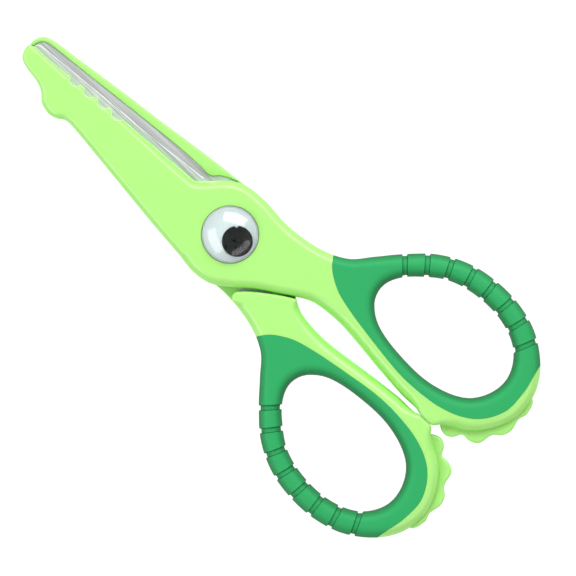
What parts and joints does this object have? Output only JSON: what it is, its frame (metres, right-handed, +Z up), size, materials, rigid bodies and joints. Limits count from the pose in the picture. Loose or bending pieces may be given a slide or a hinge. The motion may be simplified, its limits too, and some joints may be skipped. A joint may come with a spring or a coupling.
{
  "type": "children's craft scissors",
  "caption": "Crocodile-shaped children's craft scissors: covered steel blades, ringed soft-grip handles, scalloped frills and a wiggle eye on the pivot.",
  "frame": {"origin": "on the pivot's axis, at the rivet head's face, in the plane that the closed scissors lie on", "axes": "+X from the pivot to the tips, +Y to the side of the front jaw, +Z up along the pivot towards the wiggle eye"},
  "size_m": [0.1289, 0.063, 0.0104],
  "materials": {
    "lime_plastic": "satin lime-green moulded ABS",
    "green_soft_rubber": "matt mid-green soft-touch thermoplastic rubber",
    "blade_steel": "stainless strip, fine grinding lines along the blade",
    "rivet_steel": "plain steel",
    "adhesive_foam": "white double-sided foam pad",
    "eye_white": "smooth white plastic",
    "eye_black": "smooth black plastic",
    "clear_plastic": "clear moulded polystyrene"
  },
  "bodies": {
    "back_half": {"back_frame": "lime_plastic", "back_grip": "green_soft_rubber", "back_blade": "blade_steel", "pivot_rivet": "rivet_steel", "rivet_washer": "rivet_steel"},
    "front_half": {"front_frame": "lime_plastic", "front_grip": "green_soft_rubber", "front_blade": "blade_steel", "eye_adhesive": "adhesive_foam", "eye_base": "eye_white", "eye_dome": "clear_plastic"},
    "pupil_disc": {"eye_pupil": "eye_black"}
  },
  "joints": [
    {"name": "pivot", "type": "hinge", "parent": "back_half", "child": "front_half", "pos_m": [0, 0, 0.0038], "axis": [0, 0, 1], "range_deg": [0, 70]},
    {"name": "pupil_orbit", "type": "hinge", "parent": "front_half", "child": "pupil_disc", "pos_m": [0, 0, 0.0081], "axis": [0, 0, 1], "continuous": true}
  ]
}
